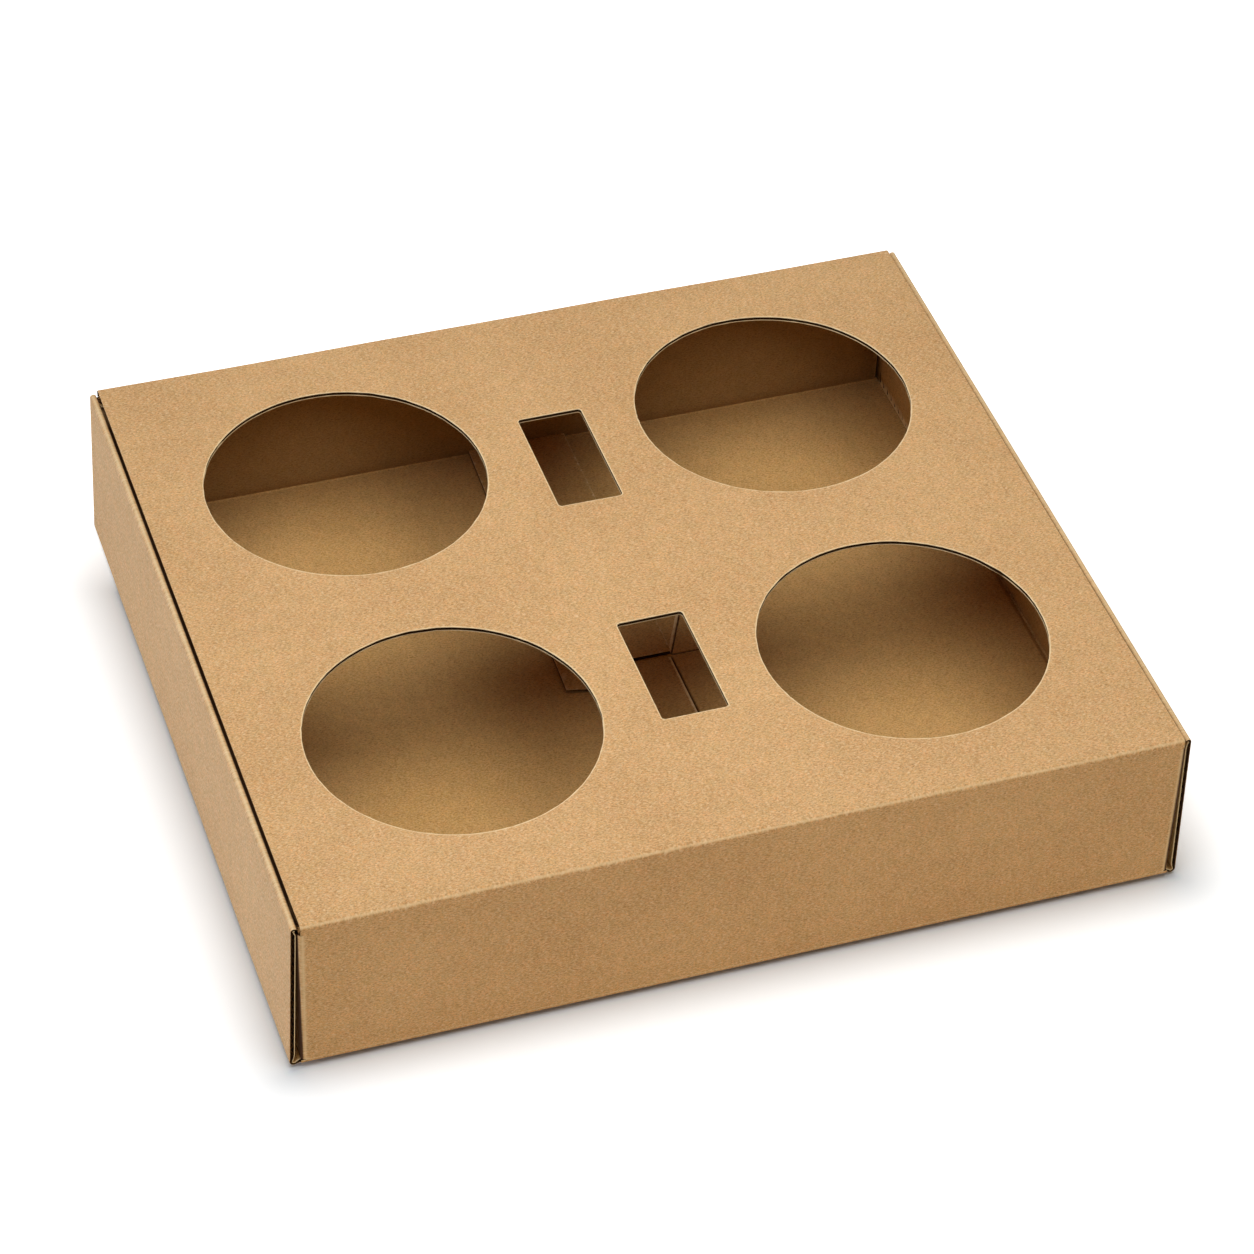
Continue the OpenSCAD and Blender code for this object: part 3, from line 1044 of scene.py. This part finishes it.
# sRGB hex to linear
def hexColour(text):
    parts = [int(text[i:i + 2], 16) / 255 for i in (1, 3, 5)]
    return tuple(c / 12.92 if c <= 0.04045 else ((c + 0.055) / 1.055) ** 2.4 for c in parts) + (1.0,)


# Unbleached kraft linerboard: pressed on a wire from long brown fibres, so it is matt, with cloudy
# formation, a fine grain and short fibres that lie a little darker or lighter than the rest
linerPaper = {
    "outer": {"body": "#d1a26d", "cloud": "#daac76", "fleckDark": "#a0733f", "fleckPale": "#f0d5aa"},
    # The inner paper is darker and more saturated than the outer, partly as painted shade inside the carrier
    "inner": {"body": "#c59a5d", "cloud": "#cea367", "fleckDark": "#8f6430", "fleckPale": "#dab680"},
    # worn: the folds' own lighter fibres with a painted highlight
    "wornHighlight": "#ecd0a2",
    # cut: the cut fibres' own lighter tone with a painted highlight
    "cut": "#f6dbac",
    "glued": "#3a1d05",  # painted shade: on the side towards the flutes, at the bottom of a pressed line, in the slits, under the lid's raw edge and inside the panels
    "wallShade": 0.38,  # painted shade: how much the front and back panels are darker inside
    "roughness": (0.75, 0.89),
    "hardAngle": 38,
    # Noise: size in mm, detail, roughness; real fibres are finer than the grain, which is drawn to show
    "noise": {
        "cloud": (38.0, 3, 0.5), "formation": (4.2, 3, 0.5), "grain": (0.5, 2, 0.65),
        "wearHighlight": (7.0, 4, 0.7), "ragged": (1.6, 2, 0.5),
    },
    "cloudRange": (0.3, 0.7),
    "light": {"formation": (0.25, 0.75, 0.11), "grain": (0.2, 0.8, 0.56)},  # noise range, amount
    "tint": 0.09,
    "fibre": (1.0, 0.28),  # length and width, width drawn about ten times too coarse for the same reason
    "fibreRange": (0.62, 0.74),
    "fibres": (  # direction, colour, amount
        (0.9, "fleckDark", 0.36), (2.2, "fleckDark", 0.36), (1.6, "fleckPale", 0.4),
        (0.3, "fleckPale", 0.3), (2.8, "fleckPale", 0.4),
    ),
    "breakUp": {"wearHighlight": 0.35, "ragged": 0.55},  # how far noise breaks up the worn, highlighted folds and the cuts
    "overlay": {"wornHighlight": (0.75, 1.2, 0.8), "glued": (0.0, 1.0, 0.98), "cut": (0.72, 1.15, 1.0)},  # range, most
    "bump": 0.06,
}


# A material on the sheet's own UV map, scaled to millimetres
def paperMaterial(name):
    material = bpy.data.materials.new(name)
    material.use_nodes = True
    tree = material.node_tree
    sheetUv = addNode(tree, "ShaderNodeUVMap", uv_map="sheet")
    mm = addNode(tree, "ShaderNodeVectorMath", {0: sheetUv, 1: (uvUnit,) * 3}, operation="MULTIPLY")
    return material, tree, mm


def linerMaterial(name, colours):
    material, tree, mm = paperMaterial(name)
    spots, tints = {}, {}
    for key, (size, detail, rough) in linerPaper["noise"].items():
        sockets = {"Vector": mm, "Scale": 1 / size, "Detail": detail, "Roughness": rough}
        noise = addNode(tree, "ShaderNodeTexNoise", sockets, None, noise_dimensions="2D")
        spots[key], tints[key] = noise.outputs
    low, high = linerPaper["cloudRange"]
    cloudy = addNode(tree, "ShaderNodeMapRange", {"Value": spots["cloud"], 1: low, 2: high})
    ends = {0: cloudy, 6: hexColour(colours["body"]), 7: hexColour(colours["cloud"])}
    colour = addNode(tree, "ShaderNodeMix", ends, 2, data_type="RGBA")
    for key, (low, high, amount) in linerPaper["light"].items():
        sockets = {"Value": spots[key], 1: low, 2: high, 3: 1 - amount / 2, 4: 1 + amount / 2}
        light = addNode(tree, "ShaderNodeMapRange", sockets)
        colour = addNode(tree, "ShaderNodeVectorMath", {0: colour, "Scale": light}, operation="SCALE")
    # Pinker and yellower patches
    sockets = {0: tints["formation"], 1: (linerPaper["tint"],) * 3, 2: (1 - linerPaper["tint"] / 2,) * 3}
    tint = addNode(tree, "ShaderNodeVectorMath", sockets, operation="MULTIPLY_ADD")
    colour = addNode(tree, "ShaderNodeVectorMath", {0: colour, 1: tint}, operation="MULTIPLY")
    # Fibres: stretched noise in several directions, each bent a little
    long, wide = linerPaper["fibre"]
    sockets = {"Vector": mm, "Scale": 1 / (long * 1.6), "Detail": 1.0}
    bends = addNode(tree, "ShaderNodeTexNoise", sockets, 1, noise_dimensions="2D")
    sockets = {0: bends, 1: (1.0, 1.0, 0), 2: mm}
    curl = addNode(tree, "ShaderNodeVectorMath", sockets, operation="MULTIPLY_ADD")
    low, high = linerPaper["fibreRange"]
    layers = []
    for angle, key, amount in linerPaper["fibres"]:
        sockets = {"Vector": curl, "Location": (angle * 91, 37, 0), "Rotation": (0, 0, angle)}
        turned = addNode(tree, "ShaderNodeMapping", {**sockets, "Scale": (1 / long, 1 / wide, 1)})
        sockets = {"Vector": turned, "Scale": 1.0, "Detail": 0.0}
        fibre = addNode(tree, "ShaderNodeTexNoise", sockets, noise_dimensions="2D")
        layers.append((fibre, low, high, amount, colours[key]))
    # Worn folds with a painted highlight, painted shade on the flute side and other shaded places, pale
    # ragged cuts with a painted highlight
    wearHighlight, shade, cut = (
        addNode(tree, "ShaderNodeAttribute", out="Fac", attribute_name=key)
        for key in ("foldWearHighlight", "shade", "cutEdgeHighlight")
    )
    broken = {}
    for key, mark in (("wearHighlight", wearHighlight), ("ragged", cut)):
        sockets = {0: spots[key], 1: linerPaper["breakUp"][key], 2: mark}
        broken[key] = addNode(tree, "ShaderNodeMath", sockets, operation="MULTIPLY_ADD")
    for key, value in (("wornHighlight", broken["wearHighlight"]), ("glued", shade), ("cut", broken["ragged"])):
        layers.append((value, *linerPaper["overlay"][key], linerPaper[key]))
    for value, low, high, most, over in layers:
        share = addNode(tree, "ShaderNodeMapRange", {"Value": value, 1: low, 2: high, 4: most})
        sockets = {0: share, 6: colour, 7: hexColour(over)}
        colour = addNode(tree, "ShaderNodeMix", sockets, 2, data_type="RGBA")
    height = addNode(tree, "ShaderNodeMath", {0: spots["grain"], 1: spots["formation"]}, operation="ADD")
    sockets = {"Height": height, "Strength": 0.3, "Distance": linerPaper["bump"] * metre}
    bump = addNode(tree, "ShaderNodeBump", sockets)
    smooth, rough = linerPaper["roughness"]
    rough = addNode(tree, "ShaderNodeMapRange", {"Value": spots["grain"], 3: smooth, 4: rough})
    sockets = {"Base Color": colour, "Roughness": rough, "Normal": bump}
    sockets.update({"IOR": 1.45, "Specular IOR Level": 0.25})
    setSockets(tree, tree.nodes["Principled BSDF"], sockets)
    return material


# Recycled fluting medium: pressed hot between toothed rolls, greyer and darker than the liners; its dark tone
# is also painted shade for the band between the papers at cuts
medium = {"dark": "#472b10", "pale": "#60401d", "coarse": 3.0, "fine": 0.6, "bump": 0.05}


def mediumMaterial():
    material, tree, mm = paperMaterial("recycledFlutingMedium")
    coarse, fine = (
        addNode(tree, "ShaderNodeTexNoise", {"Vector": mm, "Scale": 1 / medium[key], "Detail": detail})
        for key, detail in (("coarse", 3.0), ("fine", 2.0))
    )
    mixedNoise = addNode(tree, "ShaderNodeMath", {0: coarse, 1: fine}, operation="ADD")
    amount = addNode(tree, "ShaderNodeMapRange", {"Value": mixedNoise, 1: 0.7, 2: 1.3})
    sockets = {0: amount, 6: hexColour(medium["dark"]), 7: hexColour(medium["pale"])}
    colour = addNode(tree, "ShaderNodeMix", sockets, 2, data_type="RGBA")
    sockets = {"Height": fine, "Strength": 0.3, "Distance": medium["bump"] * metre}
    bump = addNode(tree, "ShaderNodeBump", sockets)
    sockets = {"Base Color": colour, "Normal": bump, "Roughness": 0.9, "Specular IOR Level": 0.2}
    setSockets(tree, tree.nodes["Principled BSDF"], sockets)
    return material


outerPaper = linerMaterial("kraftLinerOuter", linerPaper["outer"])
innerPaper = linerMaterial("kraftLinerInner", linerPaper["inner"])
fluteTree = makeFluteTree(mediumMaterial())
thin = carton["linerPaper"]
papers = {"Outer": ((0.0, thin), outerPaper), "Inner": ((board - thin, board), innerPaper)}


def linerPiece(name, sheet, place, depths, marks, material, shift=None, pull=None):
    mesh = sheetMesh(name, *linerShell(sheet, place, depths, marks, shift, pull))
    hardenEdges(mesh, linerPaper["hardAngle"], True)
    mesh.materials.append(material)
    piece = linkObject(name, mesh)
    return piece


# The lid's inner paper stands back a little from the lid's two raw edges
def lidPull(u, s):
    onLid = (s > topStart - 1) & (s < topStart + topFlat + 1)
    back = fluting["innerRecess"] * np.clip((np.abs(u) - bentFrom) / (lidHalf - bentFrom), 0, 1)
    return np.where(onLid, u - np.sign(u) * back, u)


sleeve = sleeveSheet()
marks = sleeveMarks(*sleeve["points"].T)
for which, (depths, material) in papers.items():
    inner = which == "Inner"
    # Painted shade inside the front and back panels, on the inner paper
    dark = np.maximum(marks["shade"], linerPaper["wallShade"] * marks["wall"] * inner)
    wornHighlight = {**marks, "foldWearHighlight": marks["foldWearHighlight"] * (not inner), "shade": dark}
    forms = (floorDepth, lidPull) if inner else ()
    piece = linerPiece("sleeve" + which + "Liner", sleeve, sleevePlace, depths, wornHighlight, material, *forms)
    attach(piece, "sleeve")
    if which == "Outer":
        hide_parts("carton_sleeve")
piece = flutePiece("sleeveFlutes", sleeveFluteSheet(), sleevePlace, sleeveCrush, fluteTree)
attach(piece, "sleeve")
print("sleeve papers and flutes made")

lap = lapSheet()
lapPaint = lapMarks(*lap["points"].T)
for which, (depths, _) in papers.items():
    piece = linerPiece("floorLap" + which + "Liner", lap, lapPlace, depths, lapPaint, innerPaper)
    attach(piece, "sleeve")
piece = flutePiece("floorLapFlutes", lapFluteSheet(), lapPlace, lambda u, s: np.ones(len(u)), fluteTree)
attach(piece, "sleeve")
print("floor lap made")

outerCutPale = 0.3  # share of the pale cut that shows on a flap's outer paper


def bendHinge(piece):
    out = followPath(endPath, np.array([riseStart]))[0][0]
    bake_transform(piece)


for side, word in ((-1, "left"), (1, "right")):
    body = word + "_flap"
    place = endPlace(side)
    for part, a, b, tongue in (("Hinge", 0.0, hingeEnd, False), ("Flap", hingeEnd, diveStart, True)):
        sheet = flapSheet(side, a, b, tongue)
        marks = flapMarks(*sheet["points"].T)
        layers = {}
        for which, (depths, material) in papers.items():
            outer = which == "Outer"
            wornHighlight = {key: values * outer for key, values in marks.items()}
            wornHighlight["cutEdgeHighlight"] = marks["cutEdgeHighlight"] * (outerCutPale if outer else 1)
            name = word + part + which + "Liner"
            layers[which] = linerPiece(name, sheet, place, depths, wornHighlight, material)
        flutes = flapFluteSheet(side, a, b, tongue)
        layers["Flutes"] = flutePiece(word + part + "Flutes", flutes, place, flapCrush, fluteTree)
        for which, piece in layers.items():
            if tongue:
                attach(piece, body)
            else:
                bendHinge(piece)
            if tongue and which == "Outer":
                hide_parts(word + "_end_flap")
print("end flaps and hinge folds made")

# Plain pale floor: for camera rays part of its white is its own, more so away from the carrier, so shadows on
# it stay light there; near the carrier the own white fades out, a painted shadow round it
studio = {
    "floorSize": 8.0,
    "floorDrop": 0.0015,  # the bottom bows a little, so its edges stand clear
    "floorTint": (1, 0.98, 0.96, 1),
    "floorLit": (0.87, 0.92, 0.97, 1),
    "floorPlain": (0.8, 0.79, 0.78, 1),  # for other rays
    # reach and curve of the painted shadow round the carrier
    "paintedShadowReach": 0.045,
    "paintedShadowPower": 0.68,
    "paintedShadowBackShift": 0.015,  # the floor brightens sooner behind the carrier, so the painted shadow is smaller there
    "world": 0.03,
}
floorMaterial = bpy.data.materials.new("paleFloor")
floorMaterial.use_nodes = True
tree = floorMaterial.node_tree
tree.nodes.clear()
shift = Vector((0, studio["paintedShadowBackShift"], 0))
seen = addNode(tree, "ShaderNodeLightPath", out="Is Camera Ray")
away = addNode(tree, "ShaderNodeTexCoord", out="Object")
for operation, value in (
    ("ADD", shift), ("ABSOLUTE", (0, 0, 0)), ("SUBTRACT", Vector(cadBox[1]) - shift), ("MAXIMUM", (0, 0, 0)),
):
    away = addNode(tree, "ShaderNodeVectorMath", {0: away, 1: value}, operation=operation)
away = addNode(tree, "ShaderNodeVectorMath", {0: away}, "Value", operation="LENGTH")
near = addNode(tree, "ShaderNodeMapRange", {"Value": away, 2: studio["paintedShadowReach"]})
white = addNode(tree, "ShaderNodeMath", {0: near, 1: studio["paintedShadowPower"]}, operation="POWER")
own = addNode(tree, "ShaderNodeEmission", {"Color": studio["floorTint"], "Strength": white})
part = addNode(tree, "ShaderNodeBsdfDiffuse", {"Color": studio["floorLit"]})
lit = addNode(tree, "ShaderNodeAddShader", {0: own, 1: part})
plain = addNode(tree, "ShaderNodeBsdfDiffuse", {"Color": studio["floorPlain"]})
both = addNode(tree, "ShaderNodeMixShader", {0: seen, 1: plain, 2: lit})
addNode(tree, "ShaderNodeOutputMaterial", {"Surface": both}, None)
half = studio["floorSize"] / 2
corners = [(-half, -half, 0), (half, -half, 0), (half, half, 0), (-half, half, 0)]
floorMesh = bpy.data.meshes.new("floor")
floorMesh.from_pydata(corners, [], [(0, 1, 2, 3)])
floorMesh.materials.append(floorMaterial)
floor = linkObject("floor", floorMesh)
floor.location.z = -studio["floorDrop"]

# White room for what is seen directly, dim for light
world = bpy.data.worlds.new("paleRoom")
bpy.context.scene.world = world
world.use_nodes = True
tree = world.node_tree
tree.nodes.clear()
rays = addNode(tree, "ShaderNodeLightPath", out=None).outputs
direct = rays["Is Camera Ray"]
for kind in ("Is Glossy Ray", "Is Transmission Ray"):
    direct = addNode(tree, "ShaderNodeMath", {0: direct, 1: rays[kind]}, operation="MAXIMUM")
room, white = (
    addNode(tree, "ShaderNodeBackground", {"Color": (1, 1, 1, 1), "Strength": strength})
    for strength in (studio["world"], 1.0)
)
sky = addNode(tree, "ShaderNodeMixShader", {0: direct, 1: room, 2: white})
addNode(tree, "ShaderNodeOutputWorld", {"Surface": sky}, None)

# Soft boxes: place in metres, size, watts, colour
aimHeight = 0.02
softBoxes = {
    "overhead": ((-0.03, -0.075, 0.54), (0.58, 0.58), 3.02, (1.0, 0.975, 0.93)),
    "leftFill": ((-1.3, 0.12, 0.16), (1.2, 0.25), 9.6, (0.66, 0.77, 1.0)),
    "frontFill": ((0.0, -1.3, 0.045), (1.2, 0.08), 2.6, (1.0, 0.75, 0.35)),
    "rightFill": ((1.3, 0.05, 0.16), (1.2, 0.25), 3.5, (1.0, 0.97, 0.94)),
    "backFill": ((0.0, 1.3, 0.14), (1.2, 0.2), 3.5, (1.0, 0.97, 0.94)),
}
for name, (at, size, watts, colour) in softBoxes.items():
    data = bpy.data.lights.new(name, "AREA")
    data.shape = "RECTANGLE"
    data.size, data.size_y = size
    data.energy = watts
    data.color = colour
    lamp = linkObject(name, data)
    lamp.location = at
    lamp.rotation_mode = "QUATERNION"
    lamp.rotation_quaternion = (Vector((0, 0, aimHeight)) - Vector(at)).to_track_quat("-Z", "Y")

# The photograph's viewing angle
viewpoint = {
    "azimuth": -19.8002, "elevation": 42.0091, "roll": -2.3489,  # degrees
    "distance": 1239.93,
    "target": (2.7275, -0.7478, 25.0),
    "focalPixels": 4388.98,
    "imagePixels": 1254,
}
azimuth, elevation, roll = (math.radians(viewpoint[k]) for k in ("azimuth", "elevation", "roll"))
level = math.cos(elevation)
back = Vector((math.sin(azimuth) * level, -math.cos(azimuth) * level, math.sin(elevation)))
right = (-back).cross(Vector((0, 0, 1))).normalized()
down = (-back).cross(right)
imageRight = right * math.cos(roll) + down * math.sin(roll)
imageDown = down * math.cos(roll) - right * math.sin(roll)
lens = bpy.data.cameras.new("camera")
lens.sensor_width = 36.0
lens.lens = viewpoint["focalPixels"] / viewpoint["imagePixels"] * lens.sensor_width
lens.clip_end = 50.0
camera = linkObject("camera", lens)
spot = (Vector(viewpoint["target"]) + back * viewpoint["distance"]) * metre
turn = Matrix((imageRight, -imageDown, back)).transposed().to_4x4()
camera.matrix_world = Matrix.Translation(spot) @ turn
bpy.context.scene.camera = camera
bpy.context.scene.view_settings.view_transform = "Standard"
print("floor, lights and camera set")
